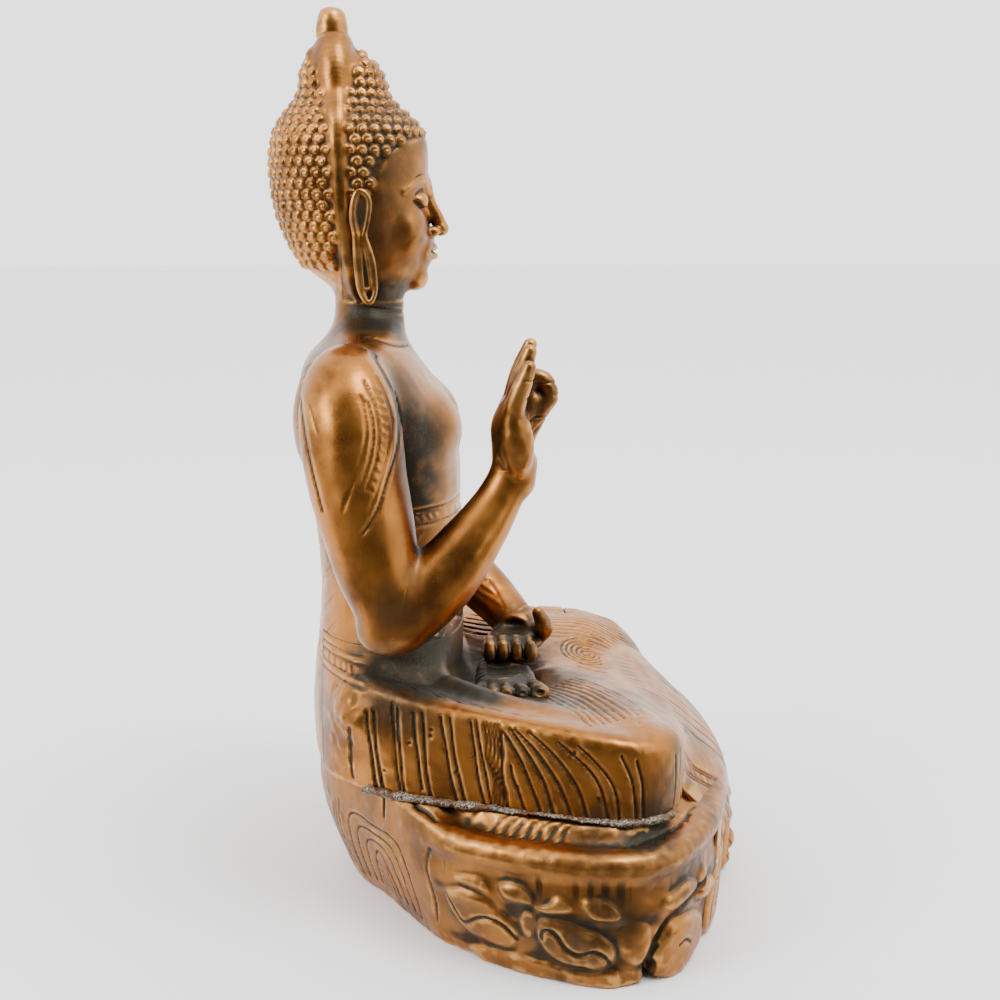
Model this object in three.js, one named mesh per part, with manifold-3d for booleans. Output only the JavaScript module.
// Hollow sand-cast metal statue of a seated Buddha on a lotus base, brazed up
// from separate castings. Millimetres, +Z up. The figure faces -Y, its own left
// hand lies at +X, and the base stands on Z = 0.
import * as THREE from 'three';
import { mergeVertices } from 'three/addons/utils/BufferGeometryUtils.js';
import Module from 'manifold-3d';

// ---- driving dimensions -------------------------------------------------
const HEIGHT = 380;            // ground to the tip of the finial
const WALL = 4;                // wall of every hollow casting
const GAP = 0.3;               // clearance left at each brazed seam
const CENTRE_SHIFT = -1.5;     // brings the middle of the box over the origin

const BASE_TOP = 60;           // top of the ledge that carries the legs
const LIP_HEIGHT = 53.4;       // rounded rim of the base
const BASE_SEAM_Y = 45;        // split between the front and back of the base
const LEG_BOTTOM = BASE_TOP + GAP;
const TORSO_SEAM_Y = 66;       // side seam of the torso, under the arms
const HEAD_SEAM_Y = 73;        // seam behind the ears
const NECK_Z = 258;            // seam between head and neck
const USHNISHA_TOP = 366;      // top of the hair, foot of the finial

const RING_POINTS = 28;        // points round a body section
const PLAN_POINTS = 48;        // points round the base and the legs
const CORE_POINTS = 16;        // points round the hollow inside a casting
const LIMB_POINTS = 12;        // points round an arm
const FINGER_POINTS = 7;       // points round a finger or toe

const wasm = await Module();
wasm.setup();

// ---- colours of the metal ------------------------------------------------
function castMetal(color, roughness) {
  return new THREE.MeshStandardMaterial({ color, roughness, metalness: 1 });
}

const BRONZE = { color: 0xb8743a, roughness: 0.35 };
const DARK_BRONZE = { color: 0x6b4a2c, roughness: 0.5 };
const BRAZE = { color: 0x8a8069, roughness: 0.7 };

// ---- solids ----------------------------------------------------------------
// Rings are lists of points in the same order and number. They turn to the left
// about the direction in which they are stacked, so the faces point outwards.
function band(indices, count, low, high) {
  for (let i = 0; i < count; i += 1) {
    const next = (i + 1) % count;
    indices.push(low + i, low + next, high + next);
    indices.push(low + i, high + next, high + i);
  }
}

function centroid(ring) {
  const sum = ring.reduce((total, point) => total.add(point), new THREE.Vector3());
  return sum.divideScalar(ring.length);
}

function loftGeometry(rings, closed) {
  const count = rings[0].length;
  const points = rings.flat();
  const indices = [];
  for (let k = 0; k + 1 < rings.length; k += 1) {
    band(indices, count, k * count, (k + 1) * count);
  }
  const last = (rings.length - 1) * count;
  if (closed) {
    band(indices, count, last, 0);
  } else {
    const foot = points.push(centroid(rings[0])) - 1;
    const head = points.push(centroid(rings.at(-1))) - 1;
    for (let i = 0; i < count; i += 1) {
      const next = (i + 1) % count;
      indices.push(foot, next, i);
      indices.push(head, last + i, last + next);
    }
  }
  const geometry = new THREE.BufferGeometry().setFromPoints(points);
  geometry.setIndex(indices);
  return geometry;
}

function solid(geometry) {
  const bare = geometry.clone();
  bare.deleteAttribute('normal');
  bare.deleteAttribute('uv');
  const merged = mergeVertices(bare, 1e-4);
  return new wasm.Manifold(new wasm.Mesh({
    numProp: 3,
    vertProperties: new Float32Array(merged.attributes.position.array),
    triVerts: new Uint32Array(merged.index.array),
  }));
}

function loft(rings) {
  return solid(loftGeometry(rings, false));
}

function loftLoop(rings) {
  return solid(loftGeometry(rings, true));
}

function box(low, high) {
  const size = new THREE.Vector3().subVectors(high, low);
  const geometry = new THREE.BoxGeometry(size.x, size.y, size.z);
  const middle = new THREE.Vector3().addVectors(low, high).multiplyScalar(0.5);
  geometry.translate(middle.x, middle.y, middle.z);
  return solid(geometry);
}

const FAR = 400;

function keepBelow(axis, value) {
  const low = new THREE.Vector3(-FAR, -FAR, -FAR);
  const high = new THREE.Vector3(FAR, FAR, 2 * FAR);
  high[axis] = value;
  return box(low, high);
}

function keepAbove(axis, value) {
  const low = new THREE.Vector3(-FAR, -FAR, -FAR);
  const high = new THREE.Vector3(FAR, FAR, 2 * FAR);
  low[axis] = value;
  return box(low, high);
}

function ellipsoid(centre, radii, count) {
  const geometry = new THREE.SphereGeometry(1, count, Math.ceil(count / 2));
  geometry.scale(radii[0], radii[1], radii[2]);
  geometry.translate(centre[0], centre[1], centre[2]);
  return solid(geometry);
}

// ---- sections of the head and torso -----------------------------------------
// Each row: height, front, back, half width, and the power of the superellipse.
const TORSO_SECTIONS = [
  [57, 34, 88.8, 60, 2.3],
  [75, 28, 90, 62, 2.3],
  [92, 24, 89.4, 60, 2.3],
  [108, 22.5, 87.6, 55, 2.3],
  [124, 22.5, 86, 49, 2.3],
  [144, 22.6, 86, 46, 2.3],
  [166, 22.8, 88, 47, 2.3],
  [184, 23, 90.4, 51, 2.3],
  [200, 24, 92.4, 56, 2.3],
  [214, 28, 93, 61, 2.2],
  [226, 36, 92.4, 62, 2.1],
  [235, 42.5, 88.5, 57, 2.1],
  [242, 46, 82, 42, 2],
  [248, 47, 78.4, 24, 2],
  [258, 47.4, 77, 16, 2],
];
const HEAD_SECTIONS = [
  [258, 47.4, 77, 16, 2],
  [263, 45, 79.5, 18, 2],
  [268, 40.5, 86, 21.5, 2],
  [276, 37, 93, 25, 2.1],
  [288, 36, 99, 27.4, 2.1],
  [300, 36, 102.4, 28.6, 2.1],
  [313, 36, 103.6, 29, 2.1],
  [325, 36.6, 102.6, 28.2, 2.1],
  [333, 41, 99.4, 25.6, 2],
  [340, 49, 94, 20.5, 2],
  [345, 52.5, 91, 18, 2],
  [352, 54.5, 89.8, 16.5, 2],
  [359, 60, 87, 13, 2],
  [366, 69.5, 82.5, 6.5, 2],
];

function interpolated(sections) {
  const columns = sections[0].length - 1;
  const levels = sections.map((row) => row[0]);
  const values = sections.flatMap((row) => row.slice(1));
  return new THREE.CubicInterpolant(levels, values, columns, new Float32Array(columns));
}

function signedPower(value, power) {
  return Math.sign(value) * Math.abs(value) ** power;
}

function bodyRing(profile, z, grow, count) {
  const [front, back, half, power] = profile.evaluate(z);
  const middle = (front + back) / 2;
  const depth = (back - front) / 2 + grow;
  return Array.from({ length: count }, (_, i) => {
    const angle = (i / count) * 2 * Math.PI;
    const across = (half + grow) * signedPower(Math.cos(angle), 2 / power);
    const along = depth * signedPower(Math.sin(angle), 2 / power);
    return new THREE.Vector3(across, middle + along, z);
  });
}

function bodyLoft(sections, low, high, steps, grow) {
  const profile = interpolated(sections);
  const rings = [];
  for (let k = 0; k <= steps; k += 1) {
    const z = low + ((high - low) * k) / steps;
    rings.push(bodyRing(profile, z, grow, RING_POINTS));
  }
  return loft(rings);
}

// The hollow inside: drawn in by the wall, and lowered by it where the skin slopes in.
function bodyCore(sections, low, high, steps, slopeFrom) {
  const profile = interpolated(sections);
  const top = sections.at(-1)[0];
  const rings = [];
  for (let k = 0; k <= steps; k += 1) {
    const z = low + ((high - low) * k) / steps;
    const lowered = WALL * THREE.MathUtils.smoothstep(z, slopeFrom, slopeFrom + 10);
    const ring = bodyRing(profile, Math.min(z + lowered, top), -WALL, CORE_POINTS);
    rings.push(ring.map((point) => point.setZ(z)));
  }
  return loft(rings);
}

function torsoSolid(grow) {
  return bodyLoft(TORSO_SECTIONS, BASE_TOP, NECK_Z, 17, grow);
}

function headSolid(grow) {
  return bodyLoft(HEAD_SECTIONS, NECK_Z, USHNISHA_TOP, 15, grow);
}

function torsoShell() {
  const outer = torsoSolid(0).intersect(keepAbove('z', BASE_TOP + GAP));
  const core = bodyCore(TORSO_SECTIONS, BASE_TOP, NECK_Z, 12, 205);
  return outer.subtract(core).intersect(keepBelow('z', NECK_Z - GAP / 2));
}

function headShell() {
  const core = bodyCore(HEAD_SECTIONS, NECK_Z, 356, 9, 315);
  return headSolid(0).subtract(core).intersect(keepAbove('z', NECK_Z + GAP / 2));
}

// ---- limbs ---------------------------------------------------------------------
// A limb is a row of [x, y, z, radius] stations joined by a smooth round skin.
function limbRings(stations, steps, count) {
  const centres = stations.map(([x, y, z]) => new THREE.Vector3(x, y, z));
  const spine = new THREE.CatmullRomCurve3(centres, false, 'centripetal');
  const radii = stations.map((row) => row[3]);
  const sideways = Math.abs(spine.getTangent(0).x) > 0.8;
  const side = sideways ? new THREE.Vector3(0, 1, 0) : new THREE.Vector3(1, 0, 0);
  return Array.from({ length: steps + 1 }, (_, k) => {
    const t = k / steps;
    const place = t * (radii.length - 1);
    const before = Math.min(Math.floor(place), radii.length - 2);
    const radius = THREE.MathUtils.lerp(radii[before], radii[before + 1], place - before);
    const centre = spine.getPoint(t);
    const tangent = spine.getTangent(t);
    side.addScaledVector(tangent, -side.dot(tangent)).normalize();
    const up = new THREE.Vector3().crossVectors(tangent, side);
    return Array.from({ length: count }, (__, i) => {
      const angle = (i / count) * 2 * Math.PI;
      return centre.clone()
        .addScaledVector(side, radius * Math.cos(angle))
        .addScaledVector(up, radius * Math.sin(angle));
    });
  });
}

function limb(stations, steps, count) {
  return loft(limbRings(stations, steps, count));
}

// A finger ends in a small rounded tip.
function finger(stations) {
  const [x, y, z, radius] = stations.at(-1);
  const tip = ellipsoid([x, y, z], [radius, radius, radius], FINGER_POINTS);
  return limb(stations, stations.length, FINGER_POINTS).add(tip);
}

function union(parts) {
  return parts.reduce((total, part) => total.add(part));
}

// Cutting can leave slivers behind: the piece is the largest body.
function largest(body) {
  const volume = (piece) => piece.volume();
  return body.decompose().sort((a, b) => volume(b) - volume(a))[0];
}

function mirrored(stations) {
  return stations.map(([x, ...rest]) => [-x, ...rest]);
}

const RIGHT_ELBOW = new THREE.Vector3(-83, 51, 137);
const RIGHT_UPPER_ARM = [
  [-52, 70, 230, 13],
  [-61, 69.5, 226, 17],
  [-69, 68.5, 212, 20],
  [-74, 66, 192, 19.6],
  [-79, 61, 168, 18],
  [-82, 56, 149, 15.5],
  [-83, 53, 137, 14.8],
  [-83.4, 50, 126, 9],
];
const RIGHT_FOREARM = [
  [-83.4, 59, 128, 9],
  [-83, 50, 137, 14.6],
  [-80, 34, 151, 14],
  [-76, 19.7, 168, 11.5],
  [-72, 8, 186, 8.4],
  [-71, 3, 197, 7.6],
];
const LEFT_FOREARM = [
  [88, 61, 138, 9],
  [82, 51, 136, 14.6],
  [65, 31, 128, 14],
  [47, 12, 117, 12.4],
  [32, -1, 106, 10],
  [24, -6, 101.5, 8.6],
];
const RIGHT_WRIST_Z = 195;
const LEFT_WRIST = new THREE.Vector3(30, -3, 105);

// The half of space on the far side of a plane through a point.
function beyond(point, direction, gap) {
  const size = 260;
  const geometry = new THREE.BoxGeometry(size, size, size);
  geometry.translate(0, 0, size / 2 + gap);
  const turn = new THREE.Quaternion().setFromUnitVectors(new THREE.Vector3(0, 0, 1), direction);
  geometry.applyQuaternion(turn);
  geometry.translate(point.x, point.y, point.z);
  return solid(geometry);
}

// The plane that halves the bend of an elbow: its normal points to the upper arm.
function mitre(shoulder, elbow, wrist) {
  const up = new THREE.Vector3().subVectors(shoulder, elbow).normalize();
  const out = new THREE.Vector3().subVectors(wrist, elbow).normalize();
  return up.sub(out).normalize();
}

function station(stations, index) {
  return new THREE.Vector3(...stations[index].slice(0, 3));
}

function arm(upperStations, foreStations, elbow) {
  const normal = mitre(station(upperStations, 2), elbow, station(foreStations, 4));
  const upper = limb(upperStations, 12, LIMB_POINTS)
    .intersect(beyond(elbow, normal, GAP / 2))
    .subtract(torsoSolid(GAP));
  const fore = limb(foreStations, 10, LIMB_POINTS)
    .intersect(beyond(elbow, normal.clone().negate(), GAP / 2));
  return { upper, fore };
}

// ---- hands and foot --------------------------------------------------------------
function rightHand() {
  const wrist = limb([[-71, 3, 190, 8], [-71, 3.4, 202, 8.4], [-71, 4, 212, 8]], 3, LIMB_POINTS);
  const palm = ellipsoid([-71, 4, 211], [13, 7, 15], LIMB_POINTS);
  const fingers = [
    [[-80, 4, 216, 3.8], [-81, 2.4, 226, 3.5], [-81, -0.5, 235, 2.9]],
    [[-74.5, 4, 218, 4], [-75, 1.6, 230, 3.7], [-74.6, -2, 240, 3.1]],
    [[-68, 4, 218, 4.1], [-68, 1.2, 231, 3.8], [-68, -2.6, 242, 3.1]],
    [[-61.5, 3, 216, 4], [-60.5, -2, 227, 3.7], [-61, -8, 231, 3.3], [-62, -12, 226.5, 2.9]],
    [[-60, 1, 204, 4.6], [-58.5, -5, 211, 4.1], [-60, -9.4, 218, 3.4], [-61.5, -11, 220.6, 2.9]],
  ].map(finger);
  return union([wrist, palm, ...fingers]).intersect(keepAbove('z', RIGHT_WRIST_Z + GAP / 2));
}

function leftHand(outward) {
  const wrist = limb([[34, 1, 107.4, 9.4], [26, -4, 102, 9], [18, -4, 99.5, 7]], 3, LIMB_POINTS);
  const palm = ellipsoid([14, -3, 99], [15, 14, 5.6], LIMB_POINTS);
  const fingers = [9, 3, -3.2, -9.2].map((y) => finger([
    [5, y, 100, 3.8],
    [-7, y + 0.6, 100.2, 3.6],
    [-14, y + 1, 100.8, 3.2],
    [-16.5, y + 1.2, 104.5, 2.8],
  ]));
  const thumb = finger([[18, -12, 100, 4.6], [8, -16, 104, 4.2], [-1, -15, 108.5, 3.4]]);
  return union([wrist, palm, ...fingers, thumb]).intersect(beyond(LEFT_WRIST, outward, GAP / 2));
}

const TOES = [
  { y: 17.2, radius: 2.7 },
  { y: 11.6, radius: 2.9 },
  { y: 5.7, radius: 3.1 },
  { y: -0.4, radius: 3.3 },
  { y: -7.6, radius: 4.1 },
];

function leftFoot() {
  const sole = ellipsoid([-26, 4, 91.5], [28, 13.5, 5.4], LIMB_POINTS);
  const heel = ellipsoid([-8, 6, 91.2], [12, 10, 5], 10);
  const toes = TOES.map(({ y, radius }) => finger([
    [-40, y * 0.8 + 1, 91.5, radius],
    [-52, y, 92.5, radius],
  ]));
  return union([sole, heel, ...toes]).subtract(legsSolid(GAP));
}

// ---- ears ----------------------------------------------------------------------------
function ear(sign) {
  const shell = ellipsoid([sign * 29.6, 68.5, 298], [3.6, 6, 13], 12);
  const lobe = limb([
    [sign * 30.4, 68, 294, 4],
    [sign * 31.4, 66.5, 276, 4],
    [sign * 31, 65.4, 263.4, 4.2],
  ], 3, 10);
  const slab = box(
    new THREE.Vector3(sign * 31 - 2.6, 50, 250),
    new THREE.Vector3(sign * 31 + 2.6, 80, 320),
  );
  return shell.add(lobe.intersect(slab)).subtract(headSolid(GAP));
}

// ---- finial ----------------------------------------------------------------------------
function finial() {
  const height = HEIGHT - USHNISHA_TOP - GAP;
  const profile = [[0, 0], [5, 0], [6.2, 0.2], [6.6, 0.45], [6, 0.72], [3.8, 0.93], [0, 1]]
    .map(([radius, level]) => new THREE.Vector2(radius, level * height));
  const geometry = new THREE.LatheGeometry(profile, 20);
  geometry.rotateX(Math.PI / 2);
  geometry.translate(0, 76, USHNISHA_TOP + GAP);
  return solid(geometry);
}

// ---- legs and base: rings over a plan outline ----------------------------------------------
// Half outlines from the back to the front, on the side of +X.
const LEG_PLAN = [
  [0, 78], [32, 80], [56, 76], [71, 64], [81, 49], [92, 22], [102, -2], [110, -23],
  [112.5, -39], [107, -53.5], [93, -62], [60, -70], [30, -76], [0, -78],
];
const BASE_PLAN = [
  [0, 88], [20, 86.4], [36, 81], [50, 72], [68, 61], [86, 49], [101, 37], [112, 24],
  [121, 7], [128.4, -10], [133, -32], [130, -46], [121, -59], [107, -69], [88, -79],
  [58, -88], [30, -92.6], [0, -94],
];

function planRing(halfPlan) {
  const right = halfPlan.map(([x, y]) => new THREE.Vector3(x, y, 0));
  const left = halfPlan.slice(1, -1).reverse().map(([x, y]) => new THREE.Vector3(-x, y, 0));
  const curve = new THREE.CatmullRomCurve3([...right, ...left], true, 'centripetal');
  return curve.getSpacedPoints(PLAN_POINTS).slice(0, PLAN_POINTS).reverse();
}

function insetPoint(point, inset, z) {
  const length = Math.hypot(point.x, point.y);
  return new THREE.Vector3(point.x, point.y, 0).multiplyScalar(1 - inset / length).setZ(z);
}

// The lap: a shelf that falls towards the knees, hollowed in the middle and a little lower
// over the left knee.
function legTop(x, y) {
  const shelf = THREE.MathUtils.mapLinear(THREE.MathUtils.clamp(y, -55, 70), -55, 70, 91.5, 107);
  const hollow = 13 * Math.exp(-(((x + 8) / 52) ** 2) - ((y - 12) / 34) ** 2);
  const shins = 20 * THREE.MathUtils.smoothstep(-y, 42, 82) * Math.exp(-((x / 76) ** 4));
  const leftKnee = 6 * THREE.MathUtils.smoothstep(x, 55, 100) * THREE.MathUtils.smoothstep(-y, -20, 20);
  return shelf - hollow - shins - leftKnee;
}

const LEG_FRACTIONS = [0.86, 0.7, 0.52, 0.34, 0.14];

function lapRing(plan, fraction, drop) {
  return plan.map((point) => {
    const place = point.clone().multiplyScalar(fraction);
    return place.setZ(legTop(place.x, place.y) - drop);
  });
}

function edgeRing(plan, inset, drop) {
  return plan.map((point) => {
    const place = insetPoint(point, inset, 0);
    return place.setZ(legTop(place.x, place.y) - drop);
  });
}

// level runs from 0 at the foot of the wall to 1 at the lap.
function wallRing(plan, inset, level, drop = 0) {
  return plan.map((point) => {
    const place = insetPoint(point, inset, 0);
    const top = legTop(place.x, place.y);
    return place.setZ(THREE.MathUtils.lerp(LEG_BOTTOM, top, level) - drop);
  });
}

function legsOuterRings(plan, grow) {
  return [
    wallRing(plan, -grow, 0, grow),
    wallRing(plan, -grow, 0.32),
    wallRing(plan, 0.6 - grow, 0.62),
    edgeRing(plan, 1.4 - grow, 4 - grow),
    edgeRing(plan, 3 - grow, 1 - grow),
    edgeRing(plan, 7 - grow, -grow),
    ...LEG_FRACTIONS.map((fraction) => lapRing(plan, fraction, -grow)),
  ];
}

function legsSolid(grow) {
  return loft(legsOuterRings(planRing(LEG_PLAN), grow));
}

function legsShell() {
  const plan = planRing(LEG_PLAN);
  const inner = [
    wallRing(plan, WALL + 0.6, 0),
    wallRing(plan, WALL + 0.6, 0.45),
    edgeRing(plan, WALL + 3, WALL + 4),
    edgeRing(plan, WALL + 8, WALL),
    ...LEG_FRACTIONS.slice(1).map((fraction) => lapRing(plan, fraction, WALL)),
  ].reverse();
  return loft([...inner, ...legsOuterRings(plan, 0)]).subtract(torsoSolid(GAP));
}

// How far the foot of the base draws in: most at the back, little at the front.
function undercut(y) {
  return 3 + 11.5 * THREE.MathUtils.smoothstep(y, -45, 70);
}

function baseRing(plan, inset, under, z) {
  return plan.map((point) => insetPoint(point, inset + under * undercut(point.y), z));
}

// How far in from the rim the ledge under the legs starts: they are nearly flush at the back.
function ledgeInset(y) {
  return 18 - 17 * THREE.MathUtils.smoothstep(y, 26, 54) - 5 * THREE.MathUtils.smoothstep(-y, 45, 75);
}

// share runs from 0 at the outer wall to 1 at the ledge. The rim rises to the ledge at the back.
function rimRing(plan, share, drop, grow) {
  return plan.map((point) => {
    const back = THREE.MathUtils.smoothstep(point.y, 26, 54);
    const height = THREE.MathUtils.lerp(LIP_HEIGHT - drop, BASE_TOP - 1.2 * (1 - share), back);
    return insetPoint(point, share * ledgeInset(point.y) - grow, height + grow);
  });
}

function ledgeRing(plan, grow) {
  return plan.map((point) => insetPoint(point, ledgeInset(point.y), BASE_TOP + grow));
}

function baseOuterRings(plan, grow) {
  return [
    baseRing(plan, -grow, 1, 0),
    baseRing(plan, -grow, 0.62, 12.5),
    baseRing(plan, -grow, 0.24, 28),
    baseRing(plan, -grow, 0.04, 41),
    baseRing(plan, -grow, 0, 49),
    rimRing(plan, 0.09, 0, grow),
    rimRing(plan, 0.28, -1, grow),
    rimRing(plan, 0.5, -1.6, grow),
    ledgeRing(plan, grow),
  ];
}

function baseShell() {
  const plan = planRing(BASE_PLAN);
  return loftLoop([
    ...baseOuterRings(plan, 0),
    baseRing(plan, 34, 0, BASE_TOP),
    baseRing(plan, 34, 0, BASE_TOP - WALL),
    baseRing(plan, 14, 0, LIP_HEIGHT - 4.4),
    baseRing(plan, WALL + 2, 0.1, 36),
    baseRing(plan, WALL + 1.5, 1, 0),
  ]);
}

function baseSolid(grow) {
  const plan = planRing(BASE_PLAN);
  return loft(baseOuterRings(plan, grow));
}

// ---- the robe's front fall ------------------------------------------------------------------
// Stations from the ground up to the lap: y, z and half width of the outer face.
const ROBE_FALL = [
  [-98.4, 0, 30],
  [-99.4, 14, 36],
  [-99.2, 30, 47],
  [-98.4, 45, 60],
  [-94, 57.5, 72],
  [-82, 70, 80],
  [-66, 81.6, 70],
  [-50, 90.4, 36],
];
const ROBE_DEPTH = 8;
const ROBE_BOW = 0.0022;       // how much the fall curves back towards its sides

function robeRing(fall, place) {
  const [y, z, half] = fall.evaluate(place).slice();
  const [yAhead, zAhead] = fall.evaluate(place + 0.01).slice();
  const inward = new THREE.Vector2(zAhead - z, y - yAhead).normalize();
  const steps = 10;
  const outer = [];
  const inner = [];
  for (let i = 0; i <= steps; i += 1) {
    const x = half * ((2 * i) / steps - 1);
    const bow = ROBE_BOW * x * x;
    outer.push(new THREE.Vector3(x, y + bow, z));
    inner.push(new THREE.Vector3(x, y + bow + ROBE_DEPTH * inward.x, z + ROBE_DEPTH * inward.y));
  }
  return [...outer, ...inner.reverse()];
}

function robeFall() {
  const levels = ROBE_FALL.map((_, i) => i);
  const fall = new THREE.CubicInterpolant(levels, ROBE_FALL.flat(), 3, new Float32Array(3));
  const rings = [];
  for (let place = 0; place < ROBE_FALL.length - 1; place += 0.5) {
    rings.push(robeRing(fall, place));
  }
  rings.push(robeRing(fall, ROBE_FALL.length - 1.02));
  return loft(rings);
}

const KNOBS = [
  { z: 6, radius: 5 },
  { z: 15, radius: 6.6 },
  { z: 26.5, radius: 5.4 },
  { z: 37, radius: 4.6 },
];
const KNOB_X = 27;
const KNOB_Y = -94;

function knobs() {
  return union(KNOBS.flatMap(({ z, radius }) => [-1, 1].map((sign) => (
    ellipsoid([sign * KNOB_X, KNOB_Y, z], [radius, radius, radius], 10)
  ))));
}

function robeFront() {
  const fall = robeFall()
    .add(knobs())
    .subtract(legsSolid(GAP))
    .subtract(baseSolid(GAP))
    .intersect(keepAbove('z', 0));
  return largest(fall);
}

// ---- braze between the thighs and the ledge --------------------------------------------------
function thighBraze(side) {
  const radius = 1.8;
  const rings = planRing(LEG_PLAN).map((point) => {
    const outward = new THREE.Vector3(point.x, point.y, 0).normalize();
    const centre = point.clone()
      .addScaledVector(outward, radius + GAP)
      .setZ(BASE_TOP + GAP + radius);
    return Array.from({ length: 6 }, (_, i) => {
      const angle = (i / 6) * 2 * Math.PI;
      return centre.clone()
        .addScaledVector(outward, radius * Math.cos(angle))
        .add(new THREE.Vector3(0, 0, -radius * Math.sin(angle)));
    });
  });
  const bead = loftLoop(rings);
  const reach = side > 0 ? keepAbove('x', 72) : keepBelow('x', -72);
  return bead.intersect(reach).intersect(keepAbove('y', -58)).subtract(baseSolid(GAP));
}

// ---- assembly -----------------------------------------------------------------------------------
const statue = new THREE.Group();
statue.position.y = CENTRE_SHIFT;

function place(name, body, finish) {
  const { vertProperties, triVerts } = body.getMesh();
  const geometry = new THREE.BufferGeometry();
  geometry.setAttribute('position', new THREE.BufferAttribute(vertProperties, 3));
  geometry.setIndex(new THREE.BufferAttribute(triVerts, 1));
  const mesh = new THREE.Mesh(geometry, castMetal(finish.color, finish.roughness));
  mesh.name = name;
  statue.add(mesh);
}

function placeHalves(body, axis, seam, lowName, highName) {
  place(lowName, body.intersect(keepBelow(axis, seam - GAP / 2)), BRONZE);
  place(highName, body.intersect(keepAbove(axis, seam + GAP / 2)), BRONZE);
}

place('finial', finial(), BRONZE);
placeHalves(headShell(), 'y', HEAD_SEAM_Y, 'head_front', 'head_back');
place('right_ear', ear(-1), BRONZE);
place('left_ear', ear(1), BRONZE);
placeHalves(torsoShell(), 'y', TORSO_SEAM_Y, 'torso_front', 'torso_back');

const rightArm = arm(RIGHT_UPPER_ARM, RIGHT_FOREARM, RIGHT_ELBOW);
place('right_upper_arm', rightArm.upper, BRONZE);
place('right_forearm', rightArm.fore.intersect(keepBelow('z', RIGHT_WRIST_Z - GAP / 2)), BRONZE);
place('right_hand', rightHand(), BRONZE);

const leftElbow = new THREE.Vector3(-RIGHT_ELBOW.x, RIGHT_ELBOW.y, RIGHT_ELBOW.z);
const leftArm = arm(mirrored(RIGHT_UPPER_ARM), LEFT_FOREARM, leftElbow);
const leftOutward = new THREE.Vector3().subVectors(LEFT_WRIST, leftElbow).normalize();
const leftInward = leftOutward.clone().negate();
place('left_upper_arm', leftArm.upper, BRONZE);
place('left_forearm', leftArm.fore.intersect(beyond(LEFT_WRIST, leftInward, GAP / 2)), BRONZE);
place('left_hand', leftHand(leftOutward), BRONZE);
place('left_foot', leftFoot(), DARK_BRONZE);

placeHalves(legsShell(), 'x', 0, 'right_leg', 'left_leg');
place('robe_front', robeFront(), BRONZE);
placeHalves(baseShell(), 'y', BASE_SEAM_Y, 'base_front', 'base_back');
place('right_thigh_braze', thighBraze(-1), BRAZE);
place('left_thigh_braze', thighBraze(1), BRAZE);

export default statue;
